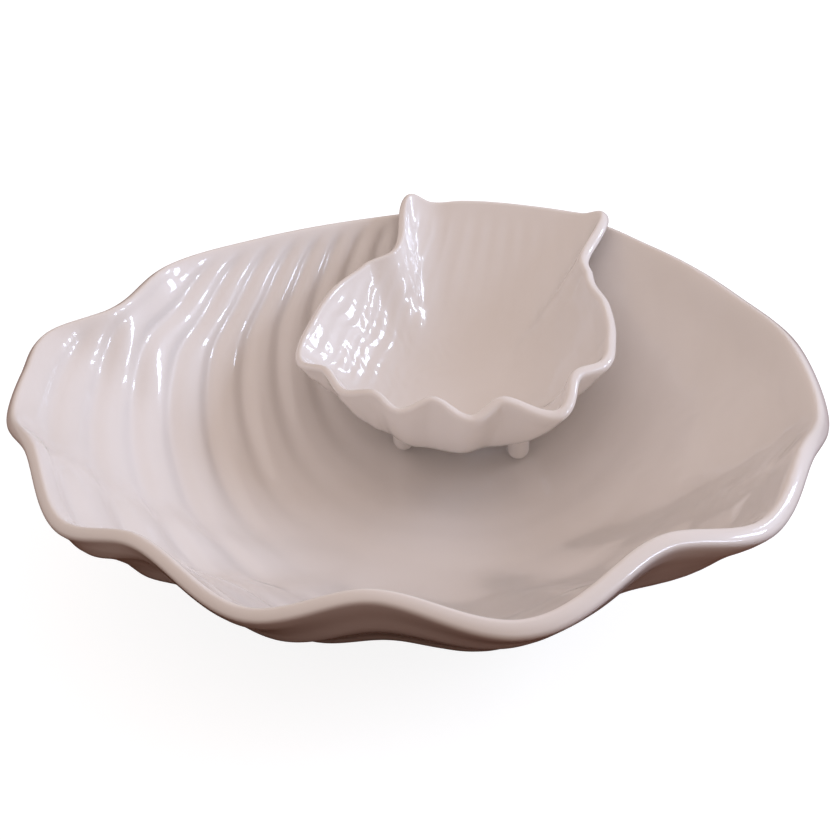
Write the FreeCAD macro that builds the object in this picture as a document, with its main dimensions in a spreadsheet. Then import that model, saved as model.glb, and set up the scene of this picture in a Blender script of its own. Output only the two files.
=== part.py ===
import FreeCAD, Part

import math
import os

import Sketcher

# Chip and dip server: a wide glazed bowl in the shape of a giant clam, with a scallop-shell
# dip bowl that stands in it. The dip bowl's hinge edge lies over the back rim of the serving
# bowl and two small peg feet under its front stand on the serving bowl's wall.
#
# Frame: millimetres, +Z up. The origin is the centre of the serving bowl's foot ring, on the
# surface it stands on. +X is the long way across, -Y is the front and +Y the hinge side.

doc = FreeCAD.newDocument("chip_and_dip_server")

# ---------------------------------------------------------------- driving dimensions

DIMENSIONS = [
    # alias, value, what it is
    ("serving_wall", 6.5, "serving bowl: wall thickness, and the width of its rolled lip"),
    ("serving_floor_radius", 30.0, "serving bowl: radius of the flat part of the floor"),
    ("serving_mean_radius", 185.0, "serving bowl: mean radius of the rim"),
    ("serving_floor_forward", 0.0, "serving bowl: floor's centre in front of the rim's centre"),
    ("serving_floor_left", 0.0, "serving bowl: floor's centre to the left of the rim's centre"),
    ("serving_floor_height", 7.25, "serving bowl: middle of the floor above the table"),
    ("serving_depth", 86.0, "serving bowl: mean rim above the middle of the floor"),
    ("serving_rise_power", 1.9, "serving bowl: how the wall steepens towards the rim"),
    ("serving_fold_power", 4.5, "serving bowl: how fast the rim's folds fade down the wall"),
    ("ring_radius", 64.0, "foot ring: mean radius"),
    ("ring_width", 7.0, "foot ring: width where it stands"),
    ("ring_flare", 1.5, "foot ring: extra width each side where it meets the bowl"),
    ("ring_edge", 1.0, "foot ring: rounding of the edges it stands on"),
    ("ring_top", 10.5, "foot ring: height of its top, inside the bowl's wall"),
    ("dip_wall", 5.0, "dip bowl: wall thickness"),
    ("dip_floor_radius", 18.6, "dip bowl: radius of the flat part of the floor"),
    ("dip_floor_forward", 9.6, "dip bowl: floor's centre in front of the rim's centre"),
    ("dip_floor_left", 8.2, "dip bowl: floor's centre to the left of the rim's centre"),
    ("dip_mean_radius", 86.4, "dip bowl: mean radius of the rim"),
    ("dip_depth", 41.5, "dip bowl: rim plane above the middle of the floor"),
    ("dip_rise_power", 1.96, "dip bowl: how the wall steepens towards the rim"),
    ("dip_fold_power", 2.0, "dip bowl: how fast the rim's folds fade down the wall"),
    ("dip_tilt", 12.0, "dip bowl: degrees that its hinge edge is raised"),
    ("dip_yaw", -11.5, "dip bowl: degrees that it is turned about the vertical"),
    ("dip_place_x", 25.8, "dip bowl: point under the rim's centre, level with its underside"),
    ("dip_place_y", 87.0, "dip bowl: the same point, towards the back"),
    ("dip_place_z", 38.6, "dip bowl: the same point, above the table"),
    ("peg_radius", 4.6, "peg feet: radius of the rounded end"),
    ("peg_root", 6.0, "peg feet: radius of the top, inside the dip bowl's wall"),
    ("peg_across", 30.0, "peg feet: distance each side of the dip bowl's middle"),
    ("peg_forward", 26.0, "peg feet: distance in front of the dip bowl's rim centre"),
    ("left_peg_top", 3.6, "left peg foot: height of its top over the dip bowl's underside"),
    ("left_peg_length", 13.4, "left peg foot: from its top to the middle of its rounded end"),
    ("right_peg_top", 8.3, "right peg foot: height of its top over the dip bowl's underside"),
    ("right_peg_length", 15.8, "right peg foot: from its top to the middle of its rounded end"),
]

sheet = doc.addObject("Spreadsheet::Sheet", "Dimensions")
for row, (alias, value, meaning) in enumerate(DIMENSIONS, start=1):
    sheet.set(f"A{row}", meaning)
    sheet.set(f"B{row}", str(value))
    sheet.setAlias(f"B{row}", alias)
doc.recompute()


def size(alias):
    """The number in the sheet's cell of that alias."""
    return float(sheet.get(alias))


# ---------------------------------------------------------------- rims

# Turning points of the serving bowl's rim: degrees round from the front, with +X positive,
# distance out from the floor's centre, and height over the mean rim. The six folds of the
# front and sides go out and down in turn, and the notches between them in and up.
SERVING_RIM = [
    (-172, 180, 2.5),
    (-150, 175, 2.8),
    (-133, 177.5, 3.1),
    (-116, 172, 1.6),
    (-106, 190.5, 0.4),
    (-96, 190, -1.8),
    (-84, 190.4, -3.5),
    (-72, 183.7, 4),
    (-55, 187.5, -5.5),
    (-42.5, 179.2, 5),
    (-22, 184.7, -5.5),
    (-7, 176.5, 6.5),
    (12.5, 187.4, -4),
    (37.5, 170.7, 5),
    (53, 184.5, -4.4),
    (70.5, 182.3, 2.2),
    (84, 187, -4),
    (100, 183, 4.5),
    (118, 180.7, 2.5),
    (138, 185.4, 3.6),
    (155, 196.5, 3.3),
    (172, 190.5, 3),
]

# The dip bowl's rim in its own tilted frame. The two high points near +-151 degrees are the
# ears at the ends of the hinge edge, and the low radii beside them are the necks.
DIP_RIM = [
    (-168, 109, 0),
    (-159, 110.5, 0.5),
    (-153.3, 112.3, 6.5),
    (-145.5, 85.7, 3),
    (-126.3, 78, 0),
    (-107.4, 78.5, 0),
    (-94, 80.1, -2),
    (-71, 84.8, -6.5),
    (-60, 75.8, 0.5),
    (-46, 72.7, -2),
    (-36, 65.2, 2),
    (-21, 63.5, -2.5),
    (-9, 55.2, 2.5),
    (13, 61.3, -2.5),
    (28, 57, 2.5),
    (47, 73.8, -2.5),
    (68, 64.8, 2),
    (80.5, 72.5, -0.5),
    (95, 72.3, 0),
    (116, 73, 0),
    (135.5, 77, 0),
    (144.5, 87.5, 3),
    (149.6, 111.5, 5.5),
    (157, 111.5, 1),
    (168, 109, 0),
]


def slopes(angles, values):
    """Slope at each turning point, from the chords to its two neighbours."""
    found = []
    for i in range(1, len(angles) - 1):
        before = angles[i] - angles[i - 1]
        after = angles[i + 1] - angles[i]
        rise_before = (values[i] - values[i - 1]) / before
        rise_after = (values[i + 1] - values[i]) / after
        found.append((rise_before * after + rise_after * before) / (before + after))
    return [found[-1]] + found + [found[0]]


def round_the_rim(rim, column):
    """Smooth periodic function of the angle through one column of a rim table."""
    angles = [rim[-1][0] - 360] + [row[0] for row in rim] + [rim[0][0] + 360]
    values = [rim[-1][column]] + [row[column] for row in rim] + [rim[0][column]]
    tangents = slopes(angles, values)

    def at(angle):
        turned = (angle - angles[1]) % 360 + angles[1]
        i = max(k for k in range(1, len(angles) - 1) if angles[k] <= turned)
        step = angles[i + 1] - angles[i]
        u = (turned - angles[i]) / step
        ease = u * u * (3 - 2 * u)
        return (
            values[i] * (1 - ease)
            + values[i + 1] * ease
            + step * u * (1 - u) * (tangents[i] * (1 - u) - tangents[i + 1] * u)
        )

    return at


# ---------------------------------------------------------------- shells

ROUND_STEPS = 96
WALL_CLIMB = [0, 0.12, 0.25, 0.4, 0.55, 0.7, 0.82, 0.92, 1]
LIP_TURNS = [0, 30, 60, 90, 120, 150, 180]
NUDGE = 0.001


class Wall:
    """Middle surface of a bowl: angle goes round it and climb goes from floor edge to rim."""

    def __init__(self, name, rim, floor_height):
        self.radius_at = round_the_rim(rim, 1)
        self.height_at = round_the_rim(rim, 2)
        self.floor_height = floor_height
        self.floor_radius = size(f"{name}_floor_radius")
        self.floor_forward = size(f"{name}_floor_forward")
        self.floor_left = size(f"{name}_floor_left")
        self.mean_radius = size(f"{name}_mean_radius")
        self.depth = size(f"{name}_depth")
        self.rise_power = size(f"{name}_rise_power")
        self.fold_power = size(f"{name}_fold_power")
        self.half_wall = size(f"{name}_wall") / 2

    def point(self, angle, climb):
        spread = (self.mean_radius - self.floor_radius) * climb
        fold = (self.radius_at(angle) - self.mean_radius) * climb**self.fold_power
        reach = self.floor_radius + spread + fold
        rise = self.depth * climb**self.rise_power + self.height_at(angle) * climb**2
        turn = math.radians(angle)
        across = reach * math.sin(turn) - self.floor_left * (1 - climb)
        back = -reach * math.cos(turn) - self.floor_forward * (1 - climb)
        return FreeCAD.Vector(across, back, self.floor_height + rise)

    def up_the_wall(self, angle, climb):
        """Unit vector up the wall, towards the rim."""
        return (self.point(angle, climb) - self.point(angle, climb - NUDGE)).normalize()

    def into_the_bowl(self, angle, climb):
        """Unit vector square to the wall, on the bowl's hollow side. The floor is level."""
        if climb == 0:
            return FreeCAD.Vector(0, 0, 1)
        along = self.point(angle + NUDGE, climb) - self.point(angle - NUDGE, climb)
        return self.up_the_wall(angle, climb).cross(along).normalize()

    def wall_ring(self, climb, side):
        """Points round the wall's outer face (side -1) or inner face (side +1)."""
        ring = []
        for step in range(ROUND_STEPS):
            angle = 360 * step / ROUND_STEPS
            shift = self.into_the_bowl(angle, climb) * (side * self.half_wall)
            ring.append(self.point(angle, climb) + shift)
        return ring

    def lip_ring(self, turned):
        """Points round the rolled lip: 0 is its outer edge, 90 its top and 180 its inner edge."""
        ring = []
        roll = math.radians(turned)
        for step in range(ROUND_STEPS):
            angle = 360 * step / ROUND_STEPS
            inward = self.into_the_bowl(angle, 1) * -math.cos(roll)
            upward = self.up_the_wall(angle, 1) * math.sin(roll)
            ring.append(self.point(angle, 1) + (inward + upward) * self.half_wall)
        return ring


def skin(rings):
    """Smooth closed band whose poles are the given rings of points."""
    across = 3
    spans = len(rings) - across
    end_knots = [across + 1] + [1] * (spans - 1) + [across + 1]
    band = Part.BSplineSurface()
    band.buildFromPolesMultsKnots(
        rings,
        end_knots,
        [1] * (ROUND_STEPS + 1),
        [float(knot) for knot in range(spans + 1)],
        [float(knot) for knot in range(ROUND_STEPS + 1)],
        False,
        True,
        across,
        3,
    )
    return band


def shell_solid(wall):
    """Closed solid of a bowl: outer wall, rolled lip, inner wall and two flat floor discs."""
    outer = skin([wall.wall_ring(climb, -1) for climb in WALL_CLIMB]).toShape()
    lip = skin([wall.lip_ring(turned) for turned in LIP_TURNS]).toShape()
    inner = skin([wall.wall_ring(climb, 1) for climb in WALL_CLIMB]).toShape()
    discs = []
    for face in (outer, inner):
        lowest = min(face.Edges, key=lambda edge: edge.BoundBox.ZMax)
        discs.append(Part.Face(Part.Wire([lowest])))
    shell = Part.makeShell([outer, lip, inner] + discs)
    shell.sewShape()
    solid = Part.Solid(shell)
    if solid.Volume < 0:
        solid.reverse()
    return solid


serving_bowl = doc.addObject("Part::Feature", "serving_bowl")
serving_bowl.Shape = shell_solid(Wall("serving", SERVING_RIM, size("serving_floor_height")))

dip_bowl = doc.addObject("Part::Feature", "dip_bowl")
dip_bowl.Shape = shell_solid(Wall("dip", DIP_RIM, size("dip_wall") / 2))
dip_place = FreeCAD.Placement(
    FreeCAD.Vector(size("dip_place_x"), size("dip_place_y"), size("dip_place_z")),
    FreeCAD.Rotation(size("dip_yaw"), 0, size("dip_tilt")),
)
dip_bowl.Placement = dip_place

# ---------------------------------------------------------------- foot ring


def origin_plane(body, role):
    """The body's own origin plane of that role."""
    return next(plane for plane in body.Origin.OriginFeatures if plane.Role == role)


def bind(target, name, expression):
    """Ties one property or sketch constraint to the sheet."""
    target.setExpression(name, expression.replace("@", "Dimensions."))


def ring_section(body):
    """Four-sided section of the foot ring, narrow where it stands and wide where it joins."""
    sketch = body.newObject("Sketcher::SketchObject", "ring_section")
    sketch.AttachmentSupport = [(origin_plane(body, "XZ_Plane"), "")]
    sketch.MapMode = "FlatFace"
    middle = size("ring_radius")
    half = size("ring_width") / 2
    top_half = half + size("ring_flare")
    top = size("ring_top")
    corners = [
        FreeCAD.Vector(middle - half, 0, 0),
        FreeCAD.Vector(middle + half, 0, 0),
        FreeCAD.Vector(middle + top_half, top, 0),
        FreeCAD.Vector(middle - top_half, top, 0),
    ]
    for start, end in zip(corners, corners[1:] + corners[:1]):
        sketch.addGeometry(Part.LineSegment(start, end), False)
    for side in range(4):
        join = Sketcher.Constraint("Coincident", side, 2, (side + 1) % 4, 1)
        sketch.addConstraint(join)
    sizes = [
        ("stand_inner", 0, 1, "@ring_radius - @ring_width / 2"),
        ("stand_outer", 0, 2, "@ring_radius + @ring_width / 2"),
        ("joint_outer", 2, 1, "@ring_radius + @ring_width / 2 + @ring_flare"),
        ("joint_inner", 2, 2, "@ring_radius - @ring_width / 2 - @ring_flare"),
    ]
    for name, line, end, expression in sizes:
        reach = sketch.getPoint(line, end).x
        added = sketch.addConstraint(Sketcher.Constraint("DistanceX", -1, 1, line, end, reach))
        sketch.renameConstraint(added, name)
        bind(sketch, f"Constraints.{name}", expression)
    sketch.addConstraint(Sketcher.Constraint("PointOnObject", 0, 1, -1))
    sketch.addConstraint(Sketcher.Constraint("Horizontal", 0))
    sketch.addConstraint(Sketcher.Constraint("Horizontal", 2))
    added = sketch.addConstraint(Sketcher.Constraint("DistanceY", -1, 1, 2, 1, top))
    sketch.renameConstraint(added, "top")
    bind(sketch, "Constraints.top", "@ring_top")
    return sketch


foot_ring = doc.addObject("PartDesign::Body", "serving_bowl_foot_ring")
section = ring_section(foot_ring)
doc.recompute()
turned_ring = foot_ring.newObject("PartDesign::Revolution", "turned_ring")
turned_ring.Profile = section
turned_ring.ReferenceAxis = (section, ["V_Axis"])
turned_ring.Angle = 360
doc.recompute()
standing_edges = [
    f"Edge{number}"
    for number, edge in enumerate(turned_ring.Shape.Edges, start=1)
    if edge.BoundBox.ZMax < NUDGE
]
worn_edges = foot_ring.newObject("PartDesign::Fillet", "worn_edges")
worn_edges.Base = (turned_ring, standing_edges)
bind(worn_edges, "Radius", "@ring_edge")
foot_ring.Tip = worn_edges

# ---------------------------------------------------------------- peg feet


def peg_foot(side, across):
    """Tapered peg with a rounded end, luted under the front of the dip bowl."""
    name = f"dip_bowl_{side}_foot"
    length = size(f"{side}_peg_length")
    shank = doc.addObject("Part::Cone", f"{side}_shank")
    bind(shank, "Radius1", "@peg_radius")
    bind(shank, "Radius2", "@peg_root")
    bind(shank, "Height", f"@{side}_peg_length")
    rounded_end = doc.addObject("Part::Sphere", f"{side}_rounded_end")
    bind(rounded_end, "Radius", "@peg_radius")
    foot = doc.addObject("Part::Fuse", name)
    foot.Base = shank
    foot.Tool = rounded_end
    bottom = size(f"{side}_peg_top") - length
    stand = FreeCAD.Vector(across, -size("peg_forward"), bottom)
    foot.Placement = dip_place.multiply(FreeCAD.Placement(stand, FreeCAD.Rotation()))
    return foot


left_foot = peg_foot("left", -size("peg_across"))
right_foot = peg_foot("right", size("peg_across"))

# ---------------------------------------------------------------- checks and files

doc.recompute()
SUB_PARTS = [serving_bowl, foot_ring, dip_bowl, left_foot, right_foot]
for item in SUB_PARTS:
    item.Label = item.Name
for item in doc.Objects:
    if "Invalid" in item.State or "Error" in item.State:
        raise RuntimeError(f"{item.Name} did not compute: {item.State}")
for item in SUB_PARTS:
    if item.Shape.isNull() or not item.Shape.isValid() or item.Shape.Volume <= 0:
        raise RuntimeError(f"{item.Label} has no valid solid")

os.makedirs("parts", exist_ok=True)
for item in SUB_PARTS:
    item.Shape.exportStep(f"parts/{item.Label}.step")
    print(f"{item.Label}: {item.Shape.Volume / 1000:.1f} cm3, {len(item.Shape.Solids)} solid")
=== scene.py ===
import math

import bpy
import numpy as np
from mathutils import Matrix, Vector


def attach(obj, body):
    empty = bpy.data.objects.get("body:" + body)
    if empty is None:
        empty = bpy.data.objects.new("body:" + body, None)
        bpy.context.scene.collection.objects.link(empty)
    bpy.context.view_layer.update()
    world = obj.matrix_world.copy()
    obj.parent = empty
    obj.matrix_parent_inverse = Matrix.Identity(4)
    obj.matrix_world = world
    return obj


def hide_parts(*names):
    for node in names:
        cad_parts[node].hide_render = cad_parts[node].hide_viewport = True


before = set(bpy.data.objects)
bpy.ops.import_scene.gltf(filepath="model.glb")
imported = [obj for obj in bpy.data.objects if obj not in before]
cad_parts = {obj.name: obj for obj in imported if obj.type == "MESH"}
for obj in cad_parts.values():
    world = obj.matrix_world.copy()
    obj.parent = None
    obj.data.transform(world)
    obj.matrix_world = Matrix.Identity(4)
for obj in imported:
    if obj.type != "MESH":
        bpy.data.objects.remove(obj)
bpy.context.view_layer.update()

# Chip and dip server, glazed ceramic. The two bowls are rebuilt here as fine meshes on the same
# middle surfaces as the CAD shells, with the growth ridges, ribs and soft lips of the real
# casting. The two peg feet are rebuilt a little blunter, and the foot ring is the CAD's own.
# Sizes are millimetres in the CAD frame and become metres in build_mesh(). Light and camera
# places are metres. Frame: +Z up, -Y front, +Y hinge side, origin under the serving bowl's middle.

MM = 0.001
ROUND_STEPS = 600  # points in each ring of a bowl
EVEN_SPAN = 6  # ring points on each side that a wall direction is averaged with

# ---------------------------------------------------------------- shapes shared with the CAD

# Rim turning points: degrees round from the front (+X positive), distance out, height.
SERVING_RIM = [
    (-172, 180, 2.5),
    (-150, 175, 2.8),
    (-133, 177.5, 3.1),
    (-116, 172, 1.6),
    (-106, 190.5, 0.4),
    (-96, 190, -1.8),
    (-84, 190.4, -3.5),
    (-72, 183.7, 4),
    (-55, 187.5, -5.5),
    (-42.5, 179.2, 5),
    (-22, 184.7, -5.5),
    (-7, 176.5, 6.5),
    (12.5, 187.4, -4),
    (37.5, 170.7, 5),
    (53, 184.5, -4.4),
    (70.5, 182.3, 2.2),
    (84, 187, -4),
    (100, 183, 4.5),
    (118, 180.7, 2.5),
    (138, 185.4, 3.6),
    (155, 196.5, 3.3),
    (172, 190.5, 3),
]
DIP_RIM = [
    (-168, 109, 0),
    (-159, 110.5, 0.5),
    (-153.3, 112.3, 6.5),
    (-145.5, 85.7, 3),
    (-126.3, 78, 0),
    (-107.4, 78.5, 0),
    (-94, 80.1, -2),
    (-71, 84.8, -6.5),
    (-60, 75.8, 0.5),
    (-46, 72.7, -2),
    (-36, 65.2, 2),
    (-21, 63.5, -2.5),
    (-9, 55.2, 2.5),
    (13, 61.3, -2.5),
    (28, 57, 2.5),
    (47, 73.8, -2.5),
    (68, 64.8, 2),
    (80.5, 72.5, -0.5),
    (95, 72.3, 0),
    (116, 73, 0),
    (135.5, 77, 0),
    (144.5, 87.5, 3),
    (149.6, 111.5, 5.5),
    (157, 111.5, 1),
    (168, 109, 0),
]

# floor: radius of the flat floor, which lies forward and left of the rim's centre by those
# distances. mean: plain radius of the rim. bottom and depth: height of the floor's middle
# surface, and of the rim over it. rise and fold: powers of the climb that bend the wall up and
# bring in the rim's folds.
SERVING_SHAPE = dict(
    floor=30.0,
    mean=185.0,
    forward=0.0,
    left=0.0,
    bottom=7.25,
    depth=86.0,
    rise=1.9,
    fold=4.5,
)
DIP_SHAPE = dict(
    floor=18.6,
    mean=86.4,
    forward=9.6,
    left=8.2,
    bottom=2.5,
    depth=41.5,
    rise=1.96,
    fold=2.0,
)

# Wall, and the lip's thickness at its narrow left and its wide right. The corner is the power
# of the lip's section: 1 is round, less is squarer. Within PLAIN_FROM degrees of the front the
# lip grows out of the wall, and past that, on the hinge side, it doesn't.
SERVING_WALL = 6.5
SERVING_LIP = (6.9, 9.4)
SERVING_CORNER = 0.62
SERVING_PLAIN_FROM = 125
DIP_WALL = 5.0
DIP_LIP = (4.2, 6.0)
DIP_CORNER = 0.8
DIP_PLAIN_FROM = 156
PLAIN_FADE = 20

# Rings of each mesh: across half the floor, up the outside, over the lip, down the inside.
SERVING_STEPS = dict(floor=11, outer=46, lip=10, inner=88)
DIP_STEPS = dict(floor=8, outer=44, lip=12, inner=84)

# Where the dip bowl stands: its own origin, its tilt back and its turn.
DIP_PLACE = np.array([25.8, 87.0, 38.6])
DIP_TILT = math.radians(12)
DIP_YAW = math.radians(-11.5)


def smooth(value, low, high):
    """0 below low, 1 above high, an even curve between."""
    part = np.clip((value - low) / (high - low), 0, 1)
    return part * part * (3 - 2 * part)


def slopes(angles, values):
    """Slope at each turning point, from the chords to its two neighbours."""
    run = np.diff(angles)
    chord = np.diff(values) / run
    inner = (chord[:-1] * run[1:] + chord[1:] * run[:-1]) / (run[:-1] + run[1:])
    return np.concatenate([inner[-1:], inner, inner[:1]])


def round_the_rim(rim, column, angle):
    """Smooth periodic curve through one column of a rim table, at each angle in degrees."""
    table = np.array(rim, float)
    angles = np.concatenate([[table[-1, 0] - 360], table[:, 0], [table[0, 0] + 360]])
    values = np.concatenate([table[-1:, column], table[:, column], table[:1, column]])
    tangents = slopes(angles, values)
    turned = (angle - angles[1]) % 360 + angles[1]
    i = np.searchsorted(angles, turned, side="right") - 1
    step = angles[i + 1] - angles[i]
    u = (turned - angles[i]) / step
    ease = u * u * (3 - 2 * u)
    bow = step * u * (1 - u) * (tangents[i] * (1 - u) - tangents[i + 1] * u)
    return values[i] * (1 - ease) + values[i + 1] * ease + bow


def unit(vectors):
    """The same directions, each one long."""
    return vectors / np.linalg.norm(vectors, axis=-1, keepdims=True)


def even_out(vectors):
    """Each direction averaged with its neighbours round the ring, so tight folds don't cross."""
    shifts = range(-EVEN_SPAN, EVEN_SPAN + 1)
    return unit(sum(np.roll(vectors, shift, 0) for shift in shifts))


class Bowl:
    """One shell: its middle surface, its relief, and the closed mesh round both."""

    NUDGE = 1e-3

    def __init__(self, rim, shape, wall, lip, corner, plain_from, relief):
        self.rim = rim
        self.shape = shape
        self.half_wall = wall / 2
        self.half_lip = (lip[0] / 2, lip[1] / 2)
        self.corner = corner
        self.plain_from = plain_from
        self.relief = relief

    def middle(self, angle, climb):
        """Point of the middle surface. climb is 0 at the floor's edge and 1 at the rim."""
        s = self.shape
        climb = np.broadcast_to(climb, np.shape(angle))
        radius = round_the_rim(self.rim, 1, angle)
        height = round_the_rim(self.rim, 2, angle)
        reach = s["floor"] + (s["mean"] - s["floor"]) * climb
        reach = reach + (radius - s["mean"]) * climb ** s["fold"]
        rise = s["depth"] * climb ** s["rise"] + height * climb**2
        turn = np.radians(angle)
        across = reach * np.sin(turn) - s["left"] * (1 - climb)
        back = -reach * np.cos(turn) - s["forward"] * (1 - climb)
        return np.stack([across, back, s["bottom"] + rise], -1)

    def directions(self, angle, climb):
        """Unit vectors up the wall, and square to it towards the hollow."""
        up = unit(self.middle(angle, climb) - self.middle(angle, climb - self.NUDGE))
        along = self.middle(angle + self.NUDGE, climb) - self.middle(angle - self.NUDGE, climb)
        return even_out(up), even_out(unit(np.cross(up, along)))

    def half_thickness(self, angle, climb):
        """Half the wall. It grows into the lip, widest on the right, but not on the hinge side."""
        plain = smooth(np.abs(angle), self.plain_from, self.plain_from + PLAIN_FADE)
        narrow, wide = self.half_lip
        lip = narrow + (wide - narrow) * smooth(np.sin(np.radians(angle)), -0.2, 0.4)
        grown = (lip - self.half_wall) * smooth(climb, 0.9, 1.0)
        return self.half_wall + grown * (1 - plain)

    def face_ring(self, angle, climb, side):
        """Ring on the outer face (side -1) or the inner face (side +1), with its relief."""
        centre = self.middle(angle, climb)
        if climb > 0:
            square = self.directions(angle, climb)[1]
        else:
            square = np.broadcast_to([0.0, 0.0, 1.0], centre.shape)
        raised = self.relief(centre[:, 0], centre[:, 1], climb, side)
        return centre + square * (side * self.half_thickness(angle, climb) + raised)[:, None]

    def floor_ring(self, angle, share, side):
        """Ring on the flat floor, at that share of the floor's radius."""
        edge = self.middle(angle, 0.0)
        centre = np.array([-self.shape["left"], -self.shape["forward"], self.shape["bottom"]])
        ring = centre + (edge - centre) * share
        raised = self.relief(ring[:, 0], ring[:, 1], 0.0, side)
        ring[:, 2] += side * self.half_wall + raised
        return ring

    def lip_ring(self, angle, turned):
        """Ring round the lip's soft corners: 0 is its outer edge, half a turn its inner edge."""
        up, square = self.directions(angle, 1.0)
        rise = math.sin(turned) ** self.corner
        across = math.copysign(abs(math.cos(turned)) ** self.corner, math.cos(turned))
        away = up * rise - square * across
        return self.middle(angle, 1.0) + away * self.half_thickness(angle, 1.0)[:, None]

    def rings(self, floor, outer, lip, inner):
        """All rings from the underside's centre, over the lip, to the floor inside."""
        angle = np.arange(ROUND_STEPS) * 360 / ROUND_STEPS - 180
        found = []
        for step in range(1, floor + 1):
            found.append(self.floor_ring(angle, step / (floor + 1), -1))
        for step in range(outer):
            found.append(self.face_ring(angle, step / (outer - 1), -1))
        for step in range(1, lip):
            found.append(self.lip_ring(angle, math.pi * step / lip))
        for step in range(inner):
            found.append(self.face_ring(angle, 1 - step / (inner - 1), 1))
        for step in range(floor, 0, -1):
            found.append(self.floor_ring(angle, step / (floor + 1), 1))
        return found


def build_mesh(name, rings):
    """Closed smooth mesh through rings of points in millimetres, with a cap at each end."""
    count = len(rings[0])
    caps = [rings[0].mean(0), rings[-1].mean(0)]
    points = np.concatenate(rings + [np.array(caps)]) * MM
    row = np.arange(count)
    after = (row + 1) % count
    faces = []
    for i in range(len(rings) - 1):
        low, high = i * count, (i + 1) * count
        faces.append(np.stack([low + row, low + after, high + after, high + row], -1))
    first, last = len(points) - 2, len(points) - 1
    top = (len(rings) - 1) * count
    faces = np.concatenate(faces).tolist()
    faces += [(first, int(b), int(a)) for a, b in zip(row, after)]
    faces += [(last, top + int(a), top + int(b)) for a, b in zip(row, after)]
    mesh = bpy.data.meshes.new(name)
    mesh.from_pydata(points.tolist(), [], faces)
    mesh.polygons.foreach_set("use_smooth", [True] * len(mesh.polygons))
    mesh.update()
    piece = bpy.data.objects.new(name, mesh)
    bpy.context.scene.collection.objects.link(piece)
    return piece


# ---------------------------------------------------------------- serving bowl's growth ridges

# The ridges are nested circles that touch at the umbo, behind the hinge. WOBBLE bends them in
# and out with the folds of the rim.
UMBO = np.array([25.0, 207.0])
RIDGE_PITCH = 16.9
FIRST_RIDGE = 15.0
SIDEWAYS_LIMIT = 140  # degrees each side of the front that the wobble is taken from
RIM_SAMPLES = 561
BEARING_SAMPLES = 400
FOLD_WIDTH = 0.9  # bearing, in radians, that the wobble is measured against
CREASE_WIDTH = 0.16  # bearing, in radians, that sharp turns are softened over
WOBBLE_SHARE = 0.25

# Depths of the grooves: everywhere, more on the wall, more still to the left, less to the
# right, and more on the outside. Streaks are the fine marks on the right.
GROOVE_DEPTH = 0.3
WALL_GROOVE_DEPTH = 0.35
LEFT_GROOVE_DEPTH = 1.35
RIGHT_GROOVE_LOSS = 0.52
OUTSIDE_GROOVE_DEPTH = 0.6
STREAK_DEPTH = 0.12
FLUTE_DEPTH = 1.6
FLUTE_FOLD = 8  # how far a fold stands out where its flute has that depth


def seen_from_umbo(x, y):
    """Bearing from the umbo, 0 to the front, and the radius of the circle through both."""
    dx, dy = x - UMBO[0], UMBO[1] - y
    return np.arctan2(dx, dy), (dx * dx + dy * dy) / (2 * dy)


def running_mean(values, span):
    """Average over span values on each side, the near ones counting most."""
    weights = np.hanning(2 * span + 3)[1:-1]
    return np.convolve(np.pad(values, span, mode="edge"), weights / weights.sum(), mode="valid")


def rim_wobble():
    """Bearings, and how far the rim's circle there stands out from the average around it."""
    angle = np.linspace(-SIDEWAYS_LIMIT, SIDEWAYS_LIMIT, RIM_SAMPLES)
    reach = round_the_rim(SERVING_RIM, 1, angle)
    turn = np.radians(angle)
    bearing, circle = seen_from_umbo(reach * np.sin(turn), -reach * np.cos(turn))
    bearing = np.maximum.accumulate(bearing)
    even = np.linspace(bearing[0], bearing[-1], BEARING_SAMPLES)
    step = even[1] - even[0]
    soft = running_mean(np.interp(even, bearing, circle), int(CREASE_WIDTH / step) // 2)
    return even, (soft / running_mean(soft, int(FOLD_WIDTH / step) // 2)) ** WOBBLE_SHARE


WOBBLE_BEARING, WOBBLE = rim_wobble()


def groove(turns):
    """1 in the bottom of each groove, 0 on the broad crest between two."""
    return ((1 + np.cos(2 * math.pi * turns)) / 2) ** 2


def flute(x, y, climb):
    """How far the rim's outward folds run on down the wall as shallow flutes, in millimetres."""
    radius = round_the_rim(SERVING_RIM, 1, np.degrees(np.arctan2(x, -y)))
    depth = FLUTE_DEPTH * (radius - SERVING_SHAPE["mean"]) / FLUTE_FOLD
    return depth * smooth(climb, 0.05, 0.45) * (1 - smooth(climb, 0.6, 1.0)) * smooth(-y, -40, 60)


def serving_relief(x, y, climb, side):
    """Height of the ridges over the plain wall, in millimetres, towards the hollow."""
    bearing, circle = seen_from_umbo(x, y)
    turns = (circle / np.interp(bearing, WOBBLE_BEARING, WOBBLE) - FIRST_RIDGE) / RIDGE_PITCH
    left = smooth(-bearing, -0.1, 0.5)
    right = smooth(bearing, 0.05, 0.6)
    on_wall = smooth(climb, 0.15, 0.6)
    wall_depth = WALL_GROOVE_DEPTH + LEFT_GROOVE_DEPTH * left - RIGHT_GROOVE_LOSS * right
    depth = GROOVE_DEPTH + wall_depth * on_wall
    if side < 0:
        depth = depth + OUTSIDE_GROOVE_DEPTH
    streak = np.sin(bearing * 41 + 3 * np.sin(climb * 9)) * np.sin(turns * 2.3 + bearing * 17)
    fine = STREAK_DEPTH * right * on_wall * groove(3 * turns + 0.6 * streak) * (1 + streak)
    fade = 1 - smooth(climb, 0.95, 1.0)
    return -fade * (depth * groove(turns) + fine + flute(x, y, climb))


# ---------------------------------------------------------------- dip bowl's ribs

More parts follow.
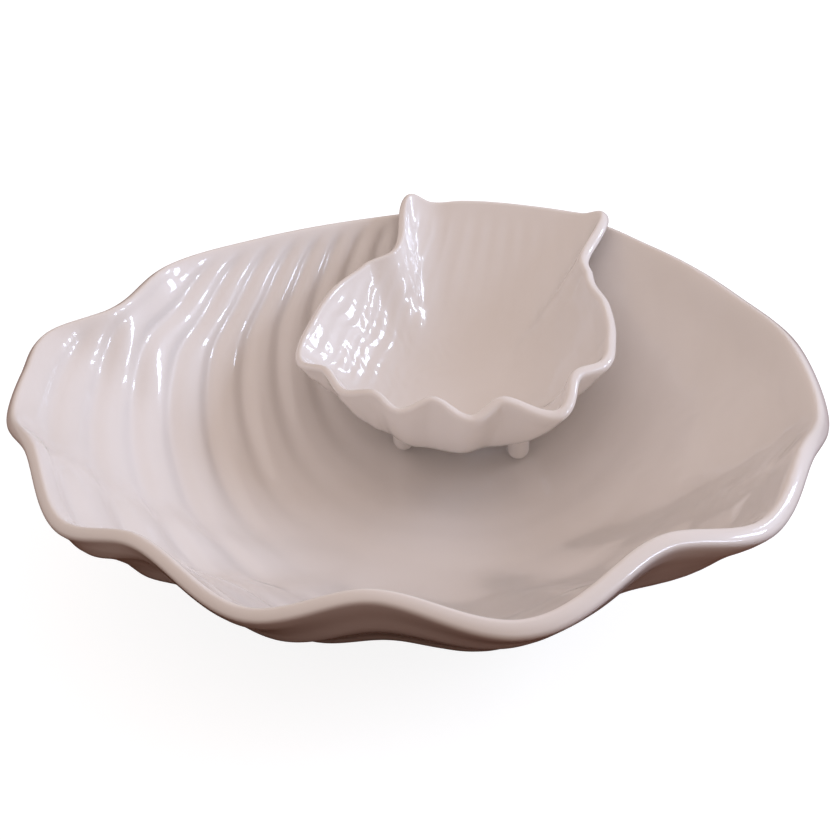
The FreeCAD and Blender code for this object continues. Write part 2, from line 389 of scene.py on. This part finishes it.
RIB_SOURCE = 330.0  # distance behind the dip bowl's centre that the ribs fan out from
RIB_PITCH = 0.039  # radians from rib to rib
RIB_HEIGHT = 0.06
HINGE_RIB_HEIGHT = 0.12
FINE_RIB_HEIGHT = 0.15
DIMPLE_DEPTH = 0.1


def dip_relief(x, y, climb, side):
    """Ribs that fan out from behind the hinge edge, and the small dimples between them."""
    bearing = np.arctan2(x, RIB_SOURCE - y)
    rib = np.cos(2 * math.pi * bearing / RIB_PITCH)
    towards_hinge = smooth(y, 10, 80)
    left = smooth(-x, 15, 55)
    fine_rib = FINE_RIB_HEIGHT * left * np.cos(4 * math.pi * bearing / RIB_PITCH + 0.8 * np.sin(y * 0.2))
    height = RIB_HEIGHT + HINGE_RIB_HEIGHT * towards_hinge
    dimples = np.sin(x * 0.71 + 1.9 * np.sin(y * 0.23)) * np.sin(y * 0.47 + 1.7 * np.sin(x * 0.31))
    dimples = DIMPLE_DEPTH * dimples * (1 - towards_hinge) * smooth(-x, -40, 40) * (side > 0)
    fade = (1 - smooth(climb, 0.88, 1.0)) * smooth(climb, 0.0, 0.2)
    return fade * (height * rib + fine_rib + dimples)


def dip_to_frame(points):
    """From the dip bowl's own level frame to where it stands, tilted and turned."""
    ct, st = math.cos(DIP_TILT), math.sin(DIP_TILT)
    cy, sy = math.cos(DIP_YAW), math.sin(DIP_YAW)
    tilt = np.array([[1, 0, 0], [0, ct, -st], [0, st, ct]])
    yaw = np.array([[cy, -sy, 0], [sy, cy, 0], [0, 0, 1]])
    return points @ (yaw @ tilt).T + DIP_PLACE


# ---------------------------------------------------------------- dip bowl's feet

FOOT_ACROSS = 30.0
FOOT_FORWARD = 26.0
FOOT_TIP = 5.7  # radius of the rounded end
FOOT_ROOT = 6.4  # radius at the top, inside the wall
FOOT_POINTS = 64

# Side, place across, top and lowest point, in the dip bowl's own level frame.
FEET = [("left", -FOOT_ACROSS, 3.6, -14.4), ("right", FOOT_ACROSS, 8.3, -12.1)]


def foot_rings(across, top, bottom):
    """Blunt peg under the dip bowl: a rounded end, then a shank that widens into the wall."""
    turns = np.linspace(0.15, 0.5 * math.pi, 12)
    middle = bottom + FOOT_TIP
    profile = [(FOOT_TIP * math.sin(turn), middle - FOOT_TIP * math.cos(turn)) for turn in turns]
    for climb in np.linspace(0.1, 1, 10):
        radius = FOOT_TIP + (FOOT_ROOT - FOOT_TIP) * climb**2
        profile.append((radius, middle + (top - middle) * climb))
    angles = np.linspace(0, 2 * math.pi, FOOT_POINTS, endpoint=False)
    rings = []
    for radius, height in profile:
        x = across + radius * np.cos(angles)
        y = radius * np.sin(angles) - FOOT_FORWARD
        rings.append(dip_to_frame(np.stack([x, y, np.full_like(x, height)], -1)))
    return rings


# ---------------------------------------------------------------- materials


def glaze(name, tint, seed):
    """Thick glossy off-white glaze: cloudy tone, faint specks and a softly uneven surface."""
    material = bpy.data.materials.new(name)
    material.use_nodes = True
    nodes, links = material.node_tree.nodes, material.node_tree.links
    shader = nodes["Principled BSDF"]
    shader.inputs["Roughness"].default_value = 0.3
    shader.inputs["IOR"].default_value = 1.5
    shader.inputs["Coat Weight"].default_value = 1.0
    shader.inputs["Coat Roughness"].default_value = 0.035
    shader.inputs["Coat IOR"].default_value = 1.52
    place = nodes.new("ShaderNodeTexCoord")
    cloud = nodes.new("ShaderNodeTexNoise")
    cloud.noise_dimensions = "4D"
    cloud.inputs["W"].default_value = seed
    cloud.inputs["Scale"].default_value = 14
    cloud.inputs["Detail"].default_value = 4
    links.new(place.outputs["Object"], cloud.inputs["Vector"])
    tone = nodes.new("ShaderNodeValToRGB")
    tone.color_ramp.elements[0].position = 0.35
    tone.color_ramp.elements[1].position = 0.68
    tone.color_ramp.elements[0].color = (tint[0] * 0.955, tint[1] * 0.945, tint[2] * 0.93, 1)
    tone.color_ramp.elements[1].color = (*tint, 1)
    links.new(cloud.outputs["Fac"], tone.inputs["Fac"])
    links.new(tone.outputs["Color"], shader.inputs["Base Color"])
    peel = nodes.new("ShaderNodeTexNoise")
    peel.inputs["Scale"].default_value = 130
    peel.inputs["Detail"].default_value = 2
    links.new(place.outputs["Object"], peel.inputs["Vector"])
    bump = nodes.new("ShaderNodeBump")
    bump.inputs["Strength"].default_value = 0.12
    bump.inputs["Distance"].default_value = 0.0006
    links.new(peel.outputs["Fac"], bump.inputs["Height"])
    links.new(bump.outputs["Normal"], shader.inputs["Normal"])
    links.new(bump.outputs["Normal"], shader.inputs["Coat Normal"])
    return material


def floor_material():
    """Floor that the camera sees pale and evenly glowing, with a faint shadow. To every other ray it is
    dark brown, a painted brown reflection and shade thrown up on the object's underside, as from a
    wooden table.
    """
    material = bpy.data.materials.new("pale_floor")
    material.use_nodes = True
    nodes, links = material.node_tree.nodes, material.node_tree.links
    shader = nodes["Principled BSDF"]
    shader.inputs["Roughness"].default_value = 0.9
    shader.inputs["Specular IOR Level"].default_value = 0.1
    path = nodes.new("ShaderNodeLightPath")
    # Dark brown for every ray but the camera's: painted brown reflection and shade on the object's
    # underside. Pale grey for the camera.
    mix = nodes.new("ShaderNodeMix")
    mix.data_type = "RGBA"
    mix.inputs["A"].default_value = (0.15, 0.068, 0.043, 1)
    mix.inputs["B"].default_value = (0.3, 0.31, 0.33, 1)
    links.new(path.outputs["Is Camera Ray"], mix.inputs["Factor"])
    links.new(mix.outputs["Result"], shader.inputs["Base Color"])
    glow = nodes.new("ShaderNodeEmission")
    glow.inputs["Color"].default_value = (1, 1, 1, 1)
    glow.inputs["Strength"].default_value = 0.87
    both = nodes.new("ShaderNodeAddShader")
    seen = nodes.new("ShaderNodeMixShader")
    links.new(shader.outputs["BSDF"], both.inputs[0])
    links.new(glow.outputs["Emission"], both.inputs[1])
    links.new(path.outputs["Is Camera Ray"], seen.inputs["Fac"])
    links.new(shader.outputs["BSDF"], seen.inputs[1])
    links.new(both.outputs["Shader"], seen.inputs[2])
    links.new(seen.outputs["Shader"], nodes["Material Output"].inputs["Surface"])
    return material


# ---------------------------------------------------------------- pieces

GLAZE_TINT = (0.80, 0.765, 0.745)


def add_serving_bowl():
    bowl = Bowl(
        SERVING_RIM,
        SERVING_SHAPE,
        SERVING_WALL,
        SERVING_LIP,
        SERVING_CORNER,
        SERVING_PLAIN_FROM,
        serving_relief,
    )
    piece = build_mesh("serving_bowl_glazed", bowl.rings(**SERVING_STEPS))
    piece.data.materials.append(glaze("serving_bowl_glaze", GLAZE_TINT, 1.0))
    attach(piece, "serving_bowl")
    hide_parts("serving_bowl")


def add_dip_bowl():
    bowl = Bowl(
        DIP_RIM,
        DIP_SHAPE,
        DIP_WALL,
        DIP_LIP,
        DIP_CORNER,
        DIP_PLAIN_FROM,
        dip_relief,
    )
    rings = [dip_to_frame(ring) for ring in bowl.rings(**DIP_STEPS)]
    piece = build_mesh("dip_bowl_glazed", rings)
    piece.data.materials.append(glaze("dip_bowl_glaze", GLAZE_TINT, 4.0))
    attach(piece, "dip_bowl")
    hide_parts("dip_bowl")


def add_foot(side, across, top, bottom):
    node = "dip_bowl_%s_foot" % side
    piece = build_mesh(node + "_glazed", foot_rings(across, top, bottom))
    piece.data.materials.append(glaze(node + "_glaze", GLAZE_TINT, 5.0))
    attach(piece, "dip_bowl")
    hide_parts(node)


def glaze_foot_ring():
    """The CAD's own foot ring, with the same glaze."""
    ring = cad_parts["serving_bowl_foot_ring"]
    ring.data.materials.clear()
    ring.data.materials.append(glaze("foot_ring_glaze", GLAZE_TINT, 7.0))


add_serving_bowl()
add_dip_bowl()
for foot in FEET:
    add_foot(*foot)
glaze_foot_ring()

# ---------------------------------------------------------------- stage, light and camera

FLOOR_HALF = 4.0

# One soft window on the right lights the server, and three narrow panes are seen in its gloss.
DAYLIGHT = (0.65, 0.77, 1.0)
LIGHT_TARGET = (0, 0, 0.05)
WINDOW_PLACE = (1.99, 0.4, 0.93)
PANES = [(1.85, 0.6, 1.17), (1.98, 0.07, 1.11), (1.96, -0.49, 1.04)]

# Warm light from all round, stronger overhead.
WORLD_COLOUR = (1.0, 0.845, 0.785, 1)
WORLD_LEVEL = 0.48
WORLD_OVERHEAD = 0.87

AIM = Vector((0.0, -0.028, 0.095))
VIEW_ELEVATION = math.radians(31)
VIEW_DISTANCE = 1.0
LENS = 92.57


def make_floor(half):
    mesh = bpy.data.meshes.new("floor")
    corners = [(-half, -half, 0), (half, -half, 0), (half, half, 0), (-half, half, 0)]
    mesh.from_pydata(corners, [], [(0, 1, 2, 3)])
    floor = bpy.data.objects.new("floor", mesh)
    bpy.context.scene.collection.objects.link(floor)
    mesh.materials.append(floor_material())


def look_at(item, target):
    item.rotation_euler = (Vector(target) - item.location).to_track_quat("-Z", "Y").to_euler()


def area_light(name, place, width, height, power):
    light = bpy.data.lights.new(name, "AREA")
    light.shape = "RECTANGLE"
    light.size = width
    light.size_y = height
    light.energy = power
    light.color = DAYLIGHT
    item = bpy.data.objects.new(name, light)
    item.location = place
    bpy.context.scene.collection.objects.link(item)
    look_at(item, LIGHT_TARGET)
    return item


def add_lights():
    window = area_light("window", WINDOW_PLACE, width=1.26, height=0.94, power=32)
    window.visible_glossy = False
    for number, place in enumerate(PANES, start=1):
        pane = area_light("pane_%d" % number, place, width=0.2, height=0.45, power=4)
        pane.visible_diffuse = False


def add_world():
    world = bpy.data.worlds.new("studio")
    world.use_nodes = True
    nodes, links = world.node_tree.nodes, world.node_tree.links
    sky = nodes["Background"]
    sky.inputs["Color"].default_value = WORLD_COLOUR
    facing = nodes.new("ShaderNodeTexCoord")
    split = nodes.new("ShaderNodeSeparateXYZ")
    level = nodes.new("ShaderNodeMapRange")
    level.inputs["To Min"].default_value = WORLD_LEVEL
    level.inputs["To Max"].default_value = WORLD_OVERHEAD
    links.new(facing.outputs["Generated"], split.inputs["Vector"])
    links.new(split.outputs["Z"], level.inputs["Value"])
    links.new(level.outputs["Result"], sky.inputs["Strength"])
    bpy.context.scene.world = world
    bpy.context.scene.view_settings.view_transform = "Standard"


def add_camera():
    lens = bpy.data.cameras.new("camera")
    lens.sensor_width = 36.0
    lens.lens = LENS
    camera = bpy.data.objects.new("camera", lens)
    away = Vector((0, -math.cos(VIEW_ELEVATION), math.sin(VIEW_ELEVATION)))
    camera.location = AIM + away * VIEW_DISTANCE
    bpy.context.scene.collection.objects.link(camera)
    look_at(camera, AIM)
    bpy.context.scene.camera = camera


make_floor(FLOOR_HALF)
add_lights()
add_world()
add_camera()
